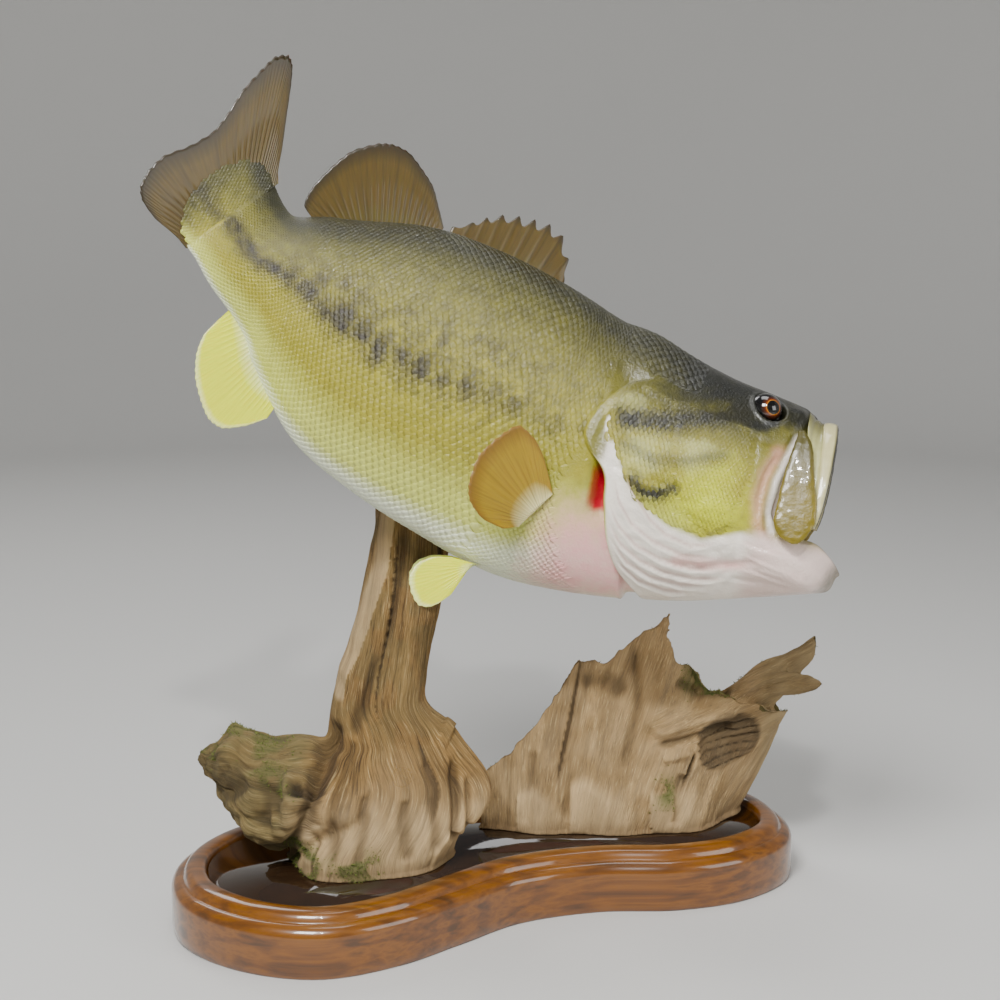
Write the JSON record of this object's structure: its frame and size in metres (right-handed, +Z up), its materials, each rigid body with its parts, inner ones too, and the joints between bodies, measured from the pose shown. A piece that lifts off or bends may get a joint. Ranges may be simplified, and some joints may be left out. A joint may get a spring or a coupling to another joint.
{
  "type": "mounted largemouth bass",
  "caption": "Life-size taxidermy largemouth bass, mouth agape, leaping on a driftwood stump above a lacquered kidney-shaped plinth with a resin pool.",
  "frame": {"origin": "centre of the plinth's flat underside", "axes": "+Z up; the fish's head points along +X and its right side faces -Y"},
  "size_m": [0.4637, 0.3009, 0.5863],
  "materials": {
    "fish_skin": "gloss",
    "fish_pale_skin": "gloss",
    "fish_mouth": "gloss",
    "fish_gills": "gloss",
    "brown_fins": "gloss",
    "amber_fins": "gloss",
    "lemon_fins": "gloss",
    "eyes": "polished",
    "driftwood": "matte",
    "lacquered_wood": "gloss",
    "resin": "polished"
  },
  "bodies": {
    "root": {"plinth": "lacquered_wood", "resin_pool": "resin", "driftwood_stump": "driftwood", "driftwood_shard": "driftwood", "trunk": "fish_skin", "tail_stem": "fish_skin", "head": "fish_skin", "lower_jaw": "fish_pale_skin", "premaxilla": "fish_skin", "tongue": "fish_mouth", "tail_fin": "brown_fins", "soft_dorsal_fin": "brown_fins", "spiny_dorsal_fin": "brown_fins", "anal_fin": "lemon_fins", "gill_cover_right": "fish_pale_skin", "gill_cover_left": "fish_pale_skin", "gills_right": "fish_gills", "gills_left": "fish_gills", "maxilla_right": "fish_skin", "maxilla_left": "fish_skin", "eye_right": "eyes", "eye_left": "eyes", "pectoral_fin_right": "amber_fins", "pectoral_fin_left": "amber_fins", "pelvic_fin_right": "lemon_fins", "pelvic_fin_left": "lemon_fins"}
  },
  "joints": []
}
